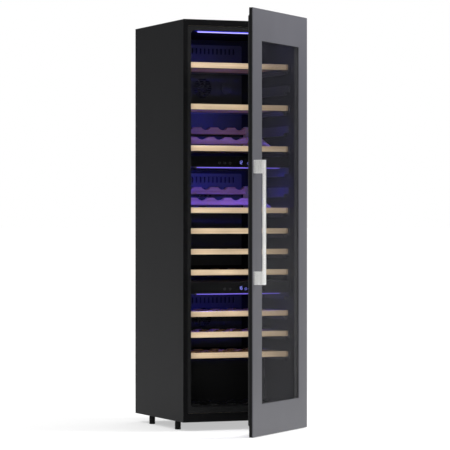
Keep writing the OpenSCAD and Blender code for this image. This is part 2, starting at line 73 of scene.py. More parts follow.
def finish(name, tones, rough, grain, lift=0.0, metal=0.0, draw=(1, 1, 1), cloud=7.0, shine=0.5):
    """A finish worked out from two noises in Object coordinates. A broad one, of `cloud` waves to
    the metre, runs the colour between the two tones. A fine one, of grains `grain` metres across,
    runs the roughness between its limits and lifts the surface by `lift`. `draw` scales both."""
    made = bpy.data.materials.new(name)
    made.use_nodes = True
    tree = made.node_tree
    shader = tree.nodes["Principled BSDF"]
    shader.inputs["Metallic"].default_value = metal
    shader.inputs["Specular IOR Level"].default_value = shine
    place = tree.nodes.new("ShaderNodeTexCoord")
    drawn = tree.nodes.new("ShaderNodeMapping")
    drawn.inputs["Scale"].default_value = draw
    tree.links.new(place.outputs["Object"], drawn.inputs["Vector"])
    broad = tree.nodes.new("ShaderNodeTexNoise")
    broad.inputs["Scale"].default_value = cloud
    broad.inputs["Detail"].default_value = 3
    tree.links.new(drawn.outputs["Vector"], broad.inputs["Vector"])
    ramp = tree.nodes.new("ShaderNodeValToRGB")
    ramp.color_ramp.elements[0].position = 0.35
    ramp.color_ramp.elements[1].position = 0.65
    for stop, tone in zip(ramp.color_ramp.elements, tones):
        stop.color = (*tone, 1)
    tree.links.new(broad.outputs["Fac"], ramp.inputs["Fac"])
    tree.links.new(ramp.outputs["Color"], shader.inputs["Base Color"])
    fine = tree.nodes.new("ShaderNodeTexNoise")
    fine.inputs["Scale"].default_value = 1 / grain
    fine.inputs["Detail"].default_value = 4
    tree.links.new(drawn.outputs["Vector"], fine.inputs["Vector"])
    span = tree.nodes.new("ShaderNodeMapRange")
    span.inputs["From Min"].default_value = 0.3
    span.inputs["From Max"].default_value = 0.7
    span.inputs["To Min"].default_value, span.inputs["To Max"].default_value = rough
    tree.links.new(fine.outputs["Fac"], span.inputs["Value"])
    tree.links.new(span.outputs["Result"], shader.inputs["Roughness"])
    if lift:
        relief = tree.nodes.new("ShaderNodeBump")
        relief.inputs["Distance"].default_value = lift
        tree.links.new(fine.outputs["Fac"], relief.inputs["Height"])
        tree.links.new(relief.outputs["Normal"], shader.inputs["Normal"])
    return made


def dress(material, *names):
    """Gives CAD nodes this finish."""
    for name in names:
        for place in nodes[name].material_slots:
            place.material = material


def shell(grid, ring=False, coat=0):
    """A closed surface from a grid of points: each row is a closed outline, joined to the next row
    by four-sided faces. With ring, the last row joins the first; otherwise a flat face closes each
    end. It is turned outwards if its volume is negative: the sum over the faces' triangles of
    a . (b x c), seen from its middle. Gives points, faces and the number of the faces' coat."""
    rows, count = grid.shape[:2]
    number = np.arange(rows * count).reshape(rows, count)
    here, there = (number, np.roll(number, -1, 0)) if ring else (number[:-1], number[1:])
    faces = np.stack([here, there, np.roll(there, -1, 1), np.roll(here, -1, 1)], -1).reshape(-1, 4)
    points = grid.reshape(-1, 3)
    p = points[faces] - points.mean(0)
    spread = np.cross(p[:, 1], p[:, 2]) + np.cross(p[:, 2], p[:, 3])
    volume = np.einsum("ij,ij->i", p[:, 0], spread).sum()
    faces = faces.tolist()
    if not ring:
        faces += [number[0].tolist(), number[-1][::-1].tolist()]
    return points, faces if volume > 0 else [f[::-1] for f in faces], coat


def piece(name, shells, coats, body, replaced=(), crease=33):
    """One object from shells: smooth across every edge that turns less than `crease` degrees, with
    normals weighted by face area so that broad faces stay flat beside their rounded edges."""
    points, faces, worn, start = [], [], [], 0
    for part, part_faces, coat in shells:
        points.append(part)
        faces += [[i + start for i in face] for face in part_faces]
        worn += [coat] * len(part_faces)
        start += len(part)
    mesh = bpy.data.meshes.new(name)
    mesh.from_pydata(np.concatenate(points).tolist(), [], faces)
    mesh.polygons.foreach_set("material_index", np.array(worn, np.int32))
    for coat in coats:
        mesh.materials.append(coat)
    mesh.shade_smooth()
    mesh.set_sharp_from_angle(angle=math.radians(crease))
    made = bpy.data.objects.new(name, mesh)
    bpy.context.scene.collection.objects.link(made)
    weighted = made.modifiers.new("weighted", "WEIGHTED_NORMAL")
    weighted.keep_sharp = True
    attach(made, body)
    if replaced:
        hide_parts(*replaced)
    return made


def folded_sheet():
    """Rows run from front to back. Each row is an arch: up the left side, round a quarter circle,
    across the top, round and down the right side, then back along the inside one sheet deeper.
    The outside steps in by the hems' rise between them, and the front edge is rounded over. run is
    (distance from the front, outside's inset, inside's inset), mirrored for the rear half."""
    bend = np.linspace(0, np.pi / 2, 7)
    run = [(0.0, 0.0005, 0.0007), (0.0002, 0.00015, 0.00105), (0.0006, 0, sheet), (hem, 0, sheet),
           (hem + 0.0004, hem_rise, sheet)]
    depth = casing_hi.y - front
    run = np.array(run + [(depth - y, out, into) for y, out, into in run[::-1]])
    rows = []
    for inset, flip in ((run[:, 1:2], 1), (run[:, 2:3], -1)):
        radius = fold - inset
        x1, z1 = casing_hi.x - inset, casing_hi.z - inset
        right = [x1 - radius + radius * np.sin(bend), z1 - radius + radius * np.cos(bend)]
        x = np.hstack([-x1, -right[0][:, ::-1], right[0], x1])
        z = np.hstack([casing_lo.z + 0 * x1, right[1][:, ::-1], right[1], casing_lo.z + 0 * x1])
        rows.append(np.stack([x, np.broadcast_to(front + run[:, :1], x.shape), z], -1)[:, ::flip])
    return shell(np.concatenate(rows, 1))


casing_paint = finish("casing_paint", [(0.0038, 0.0039, 0.0047), (0.0045, 0.0046, 0.0055)],
                      (0.44, 0.54), 0.0011, 0.00003, shine=0.085)
piece("casing_sheet", [folded_sheet()], [casing_paint], "cabinet",
      ["outer_casing"])

# ---------------------------------------------------------------- base, rear panel and grille
# The base pan and its bulkhead are folded from dark galvanised sheet. The rear panel has four long
# pressed beads against drumming, and is held by pan-head screws down both of its edges.
pan_steel = finish("pan_steel", [(0.045, 0.046, 0.048), (0.075, 0.076, 0.078)], (0.35, 0.55),
                   0.004, metal=0.7, cloud=25)
dress(pan_steel, "base_pan")
panel_paint = finish("panel_paint", [(0.04, 0.04, 0.042), (0.0425, 0.0425, 0.0446)], (0.4, 0.5),
                     0.0012, 0.00003)
dress(panel_paint, "rear_grille")
screw_zinc = finish("screw_zinc", [(0.5, 0.5, 0.51), (0.64, 0.64, 0.65)], (0.22, 0.36), 0.0006,
                    metal=1.0)
rear_lo, rear_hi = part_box("rear_panel")
bead_x = np.array([-0.165, -0.055, 0.055, 0.165])
bead_half = 0.011
bead_sink = 0.0012
bead_stop = 0.09
screw_inset = 0.014
screw_step = 0.365


def beaded_panel():
    """The depth at a point is the beads' sink times a smooth step of its distance from the nearest
    bead's middle line, which is an upright stretch with round ends. Front and back layers of the
    grid are a sheet apart, and joined round the edge."""
    beads = [c + np.linspace(-1, 1, 13) * bead_half for c in bead_x]
    across = np.unique(np.concatenate([[rear_lo.x, rear_hi.x]] + beads))
    ends = np.linspace(-1.4, 1.4, 15) * bead_half
    low, high = rear_lo.z + bead_stop, rear_hi.z - bead_stop
    up = np.unique(np.concatenate([[rear_lo.z, rear_hi.z], low + ends, high + ends]))
    x, z = np.meshgrid(across, up)
    past = np.maximum(0, np.maximum(low - z, z - high))
    near = np.min(np.hypot(x[..., None] - bead_x, past[..., None]), -1) / bead_half
    step = np.clip(1 - near, 0, 1)
    y = rear_hi.y - bead_sink * step * step * (3 - 2 * step)
    outer = np.stack([x, y, z], -1)
    inner = outer - [0, rear_hi.y - rear_lo.y, 0]
    count = x.size
    number = np.arange(count).reshape(x.shape)
    a, b, c, d = number[:-1, :-1], number[:-1, 1:], number[1:, 1:], number[1:, :-1]
    back = np.stack([b, a, d, c], -1).reshape(-1, 4)
    rim = np.concatenate([number[0], number[1:, -1], number[-1, -2::-1], number[-2:0:-1, 0]])
    turn = np.roll(rim, -1)
    edge = np.stack([rim, turn, turn + count, rim + count], -1)[:, ::-1]
    faces = np.concatenate([back, back[:, ::-1] + count, edge]).tolist()
    return np.concatenate([outer, inner]).reshape(-1, 3), faces, 0


def turned(profile, middle, axis=2, sides=24, wave=0.0, waves=0, coat=0):
    """A turned piece: profile is rows of (radius, distance along the axis), each carried round a
    full circle about the axis through middle. wave raises and lowers the radius `waves` times
    a turn, as a cosine, for a fluted rim."""
    profile = np.asarray(profile, float)
    turn = np.linspace(0, 2 * np.pi, sides, endpoint=False)
    radius = profile[:, :1] * (1 + wave * np.cos(waves * turn))
    u, v = [a for a in range(3) if a != axis]
    grid = np.empty((len(profile), sides, 3))
    grid[..., u] = middle[u] + radius * np.cos(turn)
    grid[..., v] = middle[v] + radius * np.sin(turn)
    grid[..., axis] = middle[axis] + profile[:, 1:]
    return shell(grid, coat=coat)


def pan_head(middle, axis, away, radius=0.0042, height=0.0022):
    """A pan head with a round recess: its profile rises from the seat, rounds over and dips in the
    middle. away is +1 or -1, the way that it faces along the axis."""
    share = np.array([[1, 0], [1, 0.45], [0.93, 0.78], [0.78, 0.96], [0.55, 1], [0.5, 0.95],
                      [0.36, 0.35], [0.02, 0.3]])
    return turned(share * [radius, height * away], middle, axis)


piece("rear_sheet", [beaded_panel()], [panel_paint], "cabinet", ["rear_panel"])
rear_screws = [pan_head((side * (casing_hi.x - screw_inset), rear_hi.y, z), 1, 1, height=0.0008)
               for side in (-1, 1) for z in np.arange(rear_lo.z + 0.018, rear_hi.z, screw_step)]
piece("rear_screws", rear_screws, [screw_zinc], "cabinet")

# ---------------------------------------------------------------- levelling feet
# Four stout feet of black nylon with fluted grips, on blackened M10 screws that turn up into the
# base, so that each can be wound in and out by hand.
foot_lo, foot_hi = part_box("levelling_feet")
foot_r = 0.013
stud_r = 0.005
stud_pitch = 0.0015
thread_depth = 0.0006
foot_nylon = finish("foot_nylon", [(0.0015, 0.0015, 0.0017), (0.0024, 0.0024, 0.0026)],
                    (0.45, 0.6), 0.0008, 0.00003, shine=0.12)
stud_steel = finish("stud_steel", [(0.03, 0.03, 0.032), (0.06, 0.06, 0.062)], (0.3, 0.45), 0.0007,
                    metal=1.0)


def thread(middle, low, high, radius, pitch):
    """A screw thread: the radius falls and rises as a triangle wave of height / pitch less turn,
    so the crest climbs one pitch in each turn."""
    turn = np.linspace(0, 1, 24, endpoint=False)
    z = np.arange(low, high, pitch / 6)[:, None]
    saw = np.abs(((z - low) / pitch - turn) % 1 - 0.5) * 2
    r = radius - thread_depth * saw
    grid = np.stack([middle[0] + r * np.cos(2 * np.pi * turn),
                     middle[1] + r * np.sin(2 * np.pi * turn), np.broadcast_to(z, r.shape)], -1)
    return shell(grid, coat=1)


feet = []
grip = [(0.0115, 0), (0.0125, 0.0007), (0.0127, 0.0015), (0.0127, 0.011), (0.0119, 0.0118),
        (0.0119, 0.0132), (0.0127, 0.014), (0.0127, 0.0335), (0.0121, 0.0347), (0.0098, 0.035),
        (0.0098, casing_lo.z), (0.004, casing_lo.z)]
for x in (foot_lo.x + foot_r, foot_hi.x - foot_r):
    for y in (foot_lo.y + foot_r, foot_hi.y - foot_r):
        feet.append(turned(grip, (x, y, 0), sides=96, wave=0.02, waves=16))
        feet.append(thread((x, y), casing_lo.z, foot_hi.z, stud_r, stud_pitch))
piece("feet", feet, [foot_nylon, stud_steel], "cabinet", ["levelling_feet"])

# ---------------------------------------------------------------- front frame and foam
# A black enamelled steel frame closes the cabinet's front round the liner. Foam poured between
# casing and liner fills the walls.
frame_enamel = finish("frame_enamel", [(0.0008, 0.0008, 0.0011), (0.0013, 0.0013, 0.0016)],
                      (0.38, 0.46), 0.0015, 0.00001, shine=0.09)
dress(frame_enamel, "front_bezel")
foam_skin = finish("foam_skin", [(0.62, 0.52, 0.32), (0.76, 0.67, 0.46)], (0.8, 0.95), 0.002,
                   0.0004, cloud=40)
dress(foam_skin, "foam_insulation")

# ---------------------------------------------------------------- liner and shelf supports
# The liner is vacuum-formed from black polystyrene with a fine leathery grain. Stepped runners of
# glass-filled nylon are screwed to its side walls, a pair at each shelf height.
liner_skin = finish("liner_skin", [(0.0024, 0.0025, 0.0028), (0.0036, 0.0037, 0.0041)],
                    (0.42, 0.54), 0.0014, 0.00008, shine=0.16)
dress(liner_skin, "inner_liner")
runner_nylon = finish("runner_nylon", [(0.013, 0.013, 0.017), (0.019, 0.019, 0.025)],
                      (0.3, 0.42), 0.0009, 0.00004)
dress(runner_nylon, "shelf_supports")

# ---------------------------------------------------------------- dividers and control panels
# Foamed boards part the three zones. Each carries a gloss black touch panel on its front edge, with
# a two-figure temperature display and a few ring-shaped touch keys lit from behind.
divider_skin = finish("divider_skin", [(0.008, 0.008, 0.009), (0.011, 0.011, 0.012)],
                      (0.35, 0.45), 0.0014, 0.00006)
dress(divider_skin, "upper_divider", "lower_divider")
panel_gloss = finish("panel_gloss", [(0.0022, 0.0022, 0.0025), (0.003, 0.003, 0.0034)],
                     (0.07, 0.11), 0.003, shine=0.08)
dress(panel_gloss, "upper_control_panel", "lower_control_panel")
figure_h = 0.0135
figure_w = 0.0065
figure_step = 0.0095
stroke = 0.0013
raised = 0.00015
ink_edge = 0.00007
ink_half = 0.0004


def glow(name, colour, strength):
    """A lit plastic: emission over a satin body, a tenth weaker where broad noise darkens it."""
    made = finish(name, [tuple(0.9 * c for c in colour), colour], (0.3, 0.4), 0.002)
    tree = made.node_tree
    shader = tree.nodes["Principled BSDF"]
    ramp = tree.nodes["Color Ramp"]
    tree.links.new(ramp.outputs["Color"], shader.inputs["Emission Color"])
    shader.inputs["Emission Strength"].default_value = strength
    return made


def block(lo, hi, r, along=0, steps=3, coat=0):
    """A bar with every edge rounded by r. Its rows are round-cornered rectangles across the bar,
    drawn in by r (1 - sin t) and set back by r (1 - cos t) as t runs a quarter turn at each end."""
    t = np.linspace(0, np.pi / 2, steps + 1)
    inset, reach = r * (1 - np.sin(t)), r * (1 - np.cos(t))
    w = np.concatenate([lo[along] + reach, hi[along] - reach[::-1]])
    inset = np.concatenate([inset, inset[::-1]])
    u, v = [a for a in range(3) if a != along]
    return shell(rectangles(u, v, lo[u] + inset, hi[u] - inset, lo[v] + inset, hi[v] - inset,
                            np.maximum(r - inset, r / 25), w, steps), coat=coat)


def rectangles(u, v, u0, u1, v0, v1, r, w, steps=3):
    """Rows of round-cornered rectangles, one for each value of the arrays u0 to w: at each corner a
    quarter circle of radius r about (u1 - r, v1 - r) and its three mirror images. u and v are the
    axes that they lie along, and w is their place on the third."""
    quarter = np.linspace(0, np.pi / 2, steps + 1)
    turn = np.concatenate([quarter + q * np.pi / 2 for q in range(4)])
    right = np.repeat([True, False, False, True], steps + 1)
    upper = np.repeat([True, True, False, False], steps + 1)
    u0, u1, v0, v1, r, w = [np.broadcast_to(a, np.shape(w))[:, None]
                            for a in (u0, u1, v0, v1, r, w)]
    grid = np.empty((len(w), len(turn), 3))
    grid[..., u] = np.where(right, u1 - r, u0 + r) + r * np.cos(turn)
    grid[..., v] = np.where(upper, v1 - r, v0 + r) + r * np.sin(turn)
    grid[..., 3 - u - v] = w
    return grid


def figure(lit, x, y, z):
    """A seven-bar figure with its lower left corner at (x, z), standing out from y. lit names its
    bars: a the top, b and c down the right, d the bottom, e and f up the left, g the middle."""
    half = figure_h / 2
    gap = stroke * 0.55
    bars = {"a": (0, figure_h, 1), "b": (figure_w, half, 0), "c": (figure_w, 0, 0), "d": (0, 0, 1),
            "e": (0, 0, 0), "f": (0, half, 0), "g": (0, half, 1)}
    made = []
    for bar in lit:
        bx, bz, flat = bars[bar]
        bx, bz = x + bx, z + bz
        if flat:
            lo, hi = (bx + gap, bz - stroke / 2), (bx + (figure_w - gap), bz + stroke / 2)
        else:
            lo, hi = (bx - stroke / 2, bz + gap), (bx + stroke / 2, bz + (half - gap))
        made.append(block((lo[0], y - raised, lo[1]), (hi[0], y, hi[1]), ink_edge,
                          along=0 if flat else 2, steps=2))
    return made


def key_ring(x, y, z, radius=0.0048, coat=1):
    """A lit ring on the panel: a small flat rectangle of ink carried round a circle."""
    turn = np.linspace(0, 2 * np.pi, 36, endpoint=False)[:, None]
    across = radius + np.array([-ink_half, ink_half, ink_half, -ink_half])
    out = np.broadcast_to(y - np.array([0, 0, raised, raised]), (36, 4))
    grid = np.stack([x + across * np.cos(turn), out, z + across * np.sin(turn)], -1)
    return shell(grid, ring=True, coat=coat)


figure_blue = glow("figure_blue", (0.25, 0.27, 1.0), 1.0)
key_ink = finish("key_ink", [(0.03, 0.03, 0.034), (0.04, 0.04, 0.045)], (0.3, 0.4), 0.001)
key_blue = glow("key_blue", (0.22, 0.23, 1.0), 1.0)
seven_bars = {"1": "bc", "2": "abged", "6": "afgedc"}
panels = [("upper_control_panel", "12", (0.047,), (-0.09, -0.065, -0.04, 0.075, 0.1)),
          ("lower_control_panel", "16", (0.034, 0.05), (-0.065, -0.04, 0.075))]
for panel, reading, lit_keys, ink_keys in panels:
    panel_lo, panel_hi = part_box(panel)
    mid_z = (panel_lo.z + panel_hi.z) / 2 - 0.003
    marks = []
    for place, digit in enumerate(reading):
        marks += figure(seven_bars[digit], 0.0015 + place * figure_step, panel_lo.y,
                        mid_z - figure_h / 2)
    for x in lit_keys + ink_keys:
        worn = 1 if x in lit_keys else 2
        marks.append(key_ring(x, panel_lo.y, mid_z - 0.004, coat=worn))
        marks.append(block((x - 0.0003, panel_lo.y - raised, mid_z - 0.0055),
                           (x + 0.0003, panel_lo.y, mid_z - 0.0025), ink_edge,
                           along=2, steps=2, coat=worn))
    piece(panel.replace("control_panel", "display"), marks, [figure_blue, key_blue, key_ink],
          "cabinet")

# ---------------------------------------------------------------- lamps
# Three lamps, one under the ceiling and one under each control panel: frosted half-round lenses in
# black holders with a cap at each end, lit blue-white by strips of diodes. The ceiling lamp's
# holder glows blue as painted light.
lamp_lo, lamp_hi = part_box("led_bars")
lamp_cap = 0.006
lamp_h = 0.006
lamp_d = 0.01
holder_h = 0.0018
ceiling_drop = 0.047
lens_white = glow("lens_white", (0.36, 0.34, 1.0), 1.35)
lens_dim = glow("lens_dim", (0.24, 0.17, 1.0), 0.19)
# A blue glow for the ceiling lamp's black holder: painted light, not a lamp of its own.
holder_painted_glow = glow("holder_painted_glow", (0.03, 0.03, 1.0), 0.8)
lamp_holder = finish("lamp_holder", [(0.01, 0.01, 0.011), (0.014, 0.014, 0.015)], (0.35, 0.5),
                     0.001)
ceiling = casing_hi.z - ceiling_drop
lamp_seats = [(ceiling, front + 0.04)]
lamp_seats += [(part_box(panel)[0].z, front + 0.051) for panel, *_ in panels]
lamps = []
for top, y in lamp_seats:
    lit = 0 if top == ceiling else 1
    bend = np.linspace(0, np.pi, 9)
    section = np.stack([y + lamp_d / 2 - 0.0042 * np.cos(bend),
                        top - holder_h - (lamp_h - 0.0019) * np.sin(bend)], -1)
    lens = np.empty((2, 9, 3))
    lens[..., 0] = [[lamp_lo.x + lamp_cap], [lamp_hi.x - lamp_cap]]
    lens[..., 1:] = section
    lamps.append(shell(lens, coat=lit))
    # The ceiling lamp's holder wears the painted blue glow; the other holders are plain black.
    lamps.append(block((lamp_lo.x, y, top - holder_h), (lamp_hi.x, y + lamp_d, top), 0.0004,
                       coat=3 if lit else 2))
    for x in (lamp_lo.x, lamp_hi.x - lamp_cap):
        lamps.append(block((x, y, top - lamp_h), (x + lamp_cap, y + lamp_d, top - 0.0005), 0.0008,
                           coat=3))
piece("lamps", lamps, [lens_white, lens_dim, holder_painted_glow, lamp_holder], "cabinet",
      ["led_bars"])

# ---------------------------------------------------------------- air ducts, filters, evaporators
# Behind each zone a moulded cover hides a finned evaporator and a fan that draws air through a
# round grille and blows it out of the slots above. A charcoal filter clips in beside each fan.
duct_skin = finish("duct_skin", [(0.0065, 0.0065, 0.0075), (0.009, 0.009, 0.0102)], (0.4, 0.52),
                   0.0014, 0.00008)
dress(duct_skin, "upper_air_duct", "middle_air_duct", "lower_air_duct")
filter_skin = finish("filter_skin", [(0.016, 0.016, 0.016), (0.026, 0.026, 0.026)], (0.6, 0.8),
                     0.0012, 0.0001)
dress(filter_skin, "charcoal_filters")
fin_aluminium = finish("fin_aluminium", [(0.6, 0.61, 0.63), (0.78, 0.79, 0.8)], (0.25, 0.42),
                       0.0015, metal=1.0, draw=(1, 1, 0.2))
dress(fin_aluminium, "evaporators")
motor_paint = finish("motor_paint", [(0.1, 0.1, 0.105), (0.14, 0.14, 0.145)], (0.35, 0.5), 0.001,
                     0.00003, metal=0.4)
dress(motor_paint, "fan_motors")
fan_plastic = finish("fan_plastic", [(0.018, 0.018, 0.02), (0.026, 0.026, 0.028)], (0.28, 0.4),
                     0.0012, 0.00002)
fan_margin = 0.0005
zone_hub_r = 0.013


def fan_rotor(middle, axis, facing, radius, hub_r, depth, blades):
    """Each blade is a row of thin ovals from the hub out to the tip. Along the way the oval's chord
    grows and its pitch eases off, so the blade twists, and its middle line is bowed by a parabola.
    The blade leans round the hub in the sense that it turns. The hub is a turned cap, domed in
    front. Everything is drawn about the Z axis and then laid along the fan's own axis."""
    made = []
    loop = np.linspace(0, 2 * np.pi, 16, endpoint=False)
    out = np.linspace(hub_r - 0.0015, radius, 9)[:, None]
    share = (out - out[0]) / (radius - out[0])
    chord = (0.30 + 0.16 * share) * radius
    pitch = np.radians(44 - 20 * share)
    along = np.cos(loop) * chord / 2
    bow = 0.1 * chord * (1 - (2 * along / chord) ** 2)
    thick = np.sin(loop) * 0.0007 + bow
    tangent = along * np.cos(pitch) - thick * np.sin(pitch)
    height = along * np.sin(pitch) + thick * np.cos(pitch)
    height = np.clip(height + depth / 2 - 0.03 * radius, 0.0003, depth - 0.0003)
    lean = 0.35 * share
    for blade in range(blades):
        turn = lean + tangent / out + 2 * np.pi * blade / blades
        made.append(np.stack([out * np.cos(turn), out * np.sin(turn), height], -1))
    cap = np.array([[0.05, 0], [0.9, 0], [1, 0.1], [1, 0.75], [0.95, 0.88], [0.8, 0.96],
                    [0.5, 0.99], [0.05, 1]])
    ring = np.linspace(0, 2 * np.pi, 40, endpoint=False)
    made.append(np.stack([cap[:, :1] * hub_r * np.cos(ring), cap[:, :1] * hub_r * np.sin(ring),
                          np.broadcast_to(cap[:, 1:] * depth, (8, 40))], -1))
    u, v = [a for a in range(3) if a != axis]
    laid = []
    for grid in made:
        turned_grid = np.empty_like(grid)
        turned_grid[..., u] = middle[u] + grid[..., 0]
        turned_grid[..., v] = middle[v] + grid[..., 1]
        turned_grid[..., axis] = middle[axis] + facing * (grid[..., 2] - depth / 2)
        laid.append(shell(turned_grid))
    return laid


for zone in ("upper", "middle", "lower"):
    fan_lo, fan_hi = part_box(zone + "_fan")
    tip_r = (fan_hi.x - fan_lo.x) / 2 - fan_margin
    rotor = fan_rotor((fan_lo + fan_hi) / 2, 1, -1, tip_r, zone_hub_r, fan_hi.y - fan_lo.y, 7)
    piece(zone + "_fan_rotor", rotor, [fan_plastic], zone + "_fan_rotor",
          [zone + "_fan"], crease=50)

# ---------------------------------------------------------------- machine compartment
# A black enamelled compressor on rubber feet, a painted tube-and-fin condenser with its own fan, a
# tray that dries melt water over the compressor, and the electrical box with the mains inlet.
pot_enamel = finish("pot_enamel", [(0.006, 0.006, 0.0065), (0.009, 0.009, 0.0095)], (0.12, 0.24),
                    0.004, 0.00005)
dress(pot_enamel, "compressor")
condenser_enamel = finish("condenser_enamel", [(0.022, 0.022, 0.024), (0.034, 0.034, 0.036)],
                          (0.3, 0.45), 0.0015, 0.00003)
dress(condenser_enamel, "condenser")
tray_plastic = finish("tray_plastic", [(0.017, 0.017, 0.018), (0.024, 0.024, 0.025)], (0.45, 0.6),
                      0.001, 0.00004)
dress(tray_plastic, "drip_tray", "terminal_box")
fan_lo, fan_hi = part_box("condenser_fan")
condenser_hub_r = 0.019
tip_r = (fan_hi.z - fan_lo.z) / 2 - fan_margin
rotor = fan_rotor((fan_lo + fan_hi) / 2, 0, -1, tip_r, condenser_hub_r, fan_hi.x - fan_lo.x, 5)
piece("condenser_fan_rotor", rotor, [fan_plastic], "condenser_fan_rotor",
      ["condenser_fan"], crease=50)

# ---------------------------------------------------------------- hinges
# Two bracket plates of zinc-plated steel, one screwed over the cabinet's top and one under its
# base. Each holds an upright steel pin, and the door hangs between the two pins.
bracket_zinc = finish("bracket_zinc", [(0.4, 0.4, 0.41), (0.52, 0.52, 0.54)], (0.32, 0.46), 0.002,
                      metal=1.0, cloud=45)
dress(bracket_zinc, "hinge_brackets")
dress(screw_zinc, "hinge_pins", "hinge_screws", "handle_screws")

# ---------------------------------------------------------------- shelves
# Ten shelves of oiled beech: a front board with end strips, two side rails and five scalloped
# battens of the same beech, darkened to a reddish brown as painted shade, screwed on a frame of
# black-coated steel that slides on the supports. The third and fourth also carry a tilted display
# rack, whose rests are darkened the same way.
rail_steel = finish("rail_steel", [(0.014, 0.014, 0.015), (0.02, 0.02, 0.021)], (0.34, 0.45),
                    0.0012, 0.00003)
dress(rail_steel, *["shelf_frame_%d" % i for i in range(1, 11)])
board_h = 0.0235
board_t = 0.018
rail_drop = 0.003
rail_h = 0.016
rail_w = 0.016
rail_set = 0.003
end_w = 0.009
batten_start = 0.04
batten_d = 0.028
batten_gap = 0.08
cradle_gap = 0.082
cheek_w = 0.012
rest_d = 0.022
edge = 0.0016


def beech(name, along, tones, fleck):
    """Oiled beech with its grain drawn out along one axis. Yearly bands are a noise stretched far
    along the grain; over them lie short dark ray flecks, where a finer stretched noise is high, and
    fine pores, which also lower the surface and dull it. A third noise, coarse and unstretched,
    makes one stretch of wood a tenth lighter or darker than the next."""
    made = finish(name, tones, (0.42, 0.56), 0.0011, 0.00006,
                  draw=tuple(0.035 if a == along else 1 for a in range(3)), cloud=70, shine=0.4)
    tree = made.node_tree
    shader = tree.nodes["Principled BSDF"]
    place = tree.nodes["Texture Coordinate"]
    ramp = tree.nodes["Color Ramp"]
    drawn = tree.nodes.new("ShaderNodeMapping")
    drawn.inputs["Scale"].default_value = tuple(0.16 if a == along else 1 for a in range(3))
    tree.links.new(place.outputs["Object"], drawn.inputs["Vector"])
    flecks = tree.nodes.new("ShaderNodeTexNoise")
    flecks.inputs["Scale"].default_value = 1300
    flecks.inputs["Detail"].default_value = 1
    tree.links.new(drawn.outputs["Vector"], flecks.inputs["Vector"])
    cut = tree.nodes.new("ShaderNodeMapRange")
    cut.inputs["From Min"].default_value = 0.58
    cut.inputs["From Max"].default_value = 0.72
    cut.inputs["To Max"].default_value = 0.55
    tree.links.new(flecks.outputs["Fac"], cut.inputs["Value"])
    mix = tree.nodes.new("ShaderNodeMix")
    mix.data_type = "RGBA"
    mix.inputs[7].default_value = (*fleck, 1)
    tree.links.new(cut.outputs["Result"], mix.inputs[0])
    tree.links.new(ramp.outputs["Color"], mix.inputs[6])
    boards = tree.nodes.new("ShaderNodeTexNoise")
    boards.inputs["Scale"].default_value = 9
    boards.inputs["Detail"].default_value = 0
    tree.links.new(place.outputs["Object"], boards.inputs["Vector"])
    warm = tree.nodes.new("ShaderNodeMapRange")
    warm.inputs["From Min"].default_value = 0.3
    warm.inputs["From Max"].default_value = 0.7
    warm.inputs["To Min"].default_value = 0.9
    warm.inputs["To Max"].default_value = 1.12
    tree.links.new(boards.outputs["Fac"], warm.inputs["Value"])
    tone = tree.nodes.new("ShaderNodeHueSaturation")
    tree.links.new(warm.outputs["Result"], tone.inputs["Value"])
    tree.links.new(mix.outputs[2], tone.inputs["Color"])
    tree.links.new(tone.outputs["Color"], shader.inputs["Base Color"])
    return made


def scalloped(lo, hi, radius, cut, coat=0):
    """A batten with five hollows for bottles. The rows are round-cornered sections along X; the top
    of each is the batten's top, or the hollow's circle where that is lower: its middle is at top +
    radius - cut, and its height is that less the root of (radius squared - distance squared)."""
    half = math.sqrt(radius ** 2 - (radius - cut) ** 2)
    middles = (np.arange(5) - 2) * cradle_gap
    t = np.linspace(0, np.pi / 2, 4)
    reach = edge * (1 - np.cos(t))
    hollows = [m + np.linspace(-half, half, 11) for m in middles]
    x = np.unique(np.concatenate([lo[0] + reach, hi[0] - reach] + hollows))
    end = np.clip(np.minimum(x - lo[0], hi[0] - x) / edge, 0, 1)
    inset = edge * (1 - np.sqrt(1 - (1 - end) ** 2))
    off = np.minimum(np.abs(x[:, None] - middles).min(1), half)
    top = np.minimum(hi[2], hi[2] + radius - cut - np.sqrt(radius ** 2 - off ** 2))
    return shell(rectangles(1, 2, lo[1] + inset, hi[1] - inset, lo[2] + inset, top - inset,
                            np.maximum(edge - inset, edge / 25), x), coat=coat)


def cheek(corners, x0, x1, coat=1):
    """An upright side of a display rack: a flat outline in Y and Z, carried across X, and drawn
    towards its middle by one edge's width at both faces."""
    corners = np.array(corners, float)
    middle = corners.mean(0)
    away = corners - middle
    small = middle + away * (1 - edge / np.hypot(*away.T))[:, None]
    rows = [(x0, small), (x0 + edge, corners), (x1 - edge, corners), (x1, small)]
    return shell(np.array([[(x, y, z) for y, z in outline] for x, outline in rows]), coat=coat)


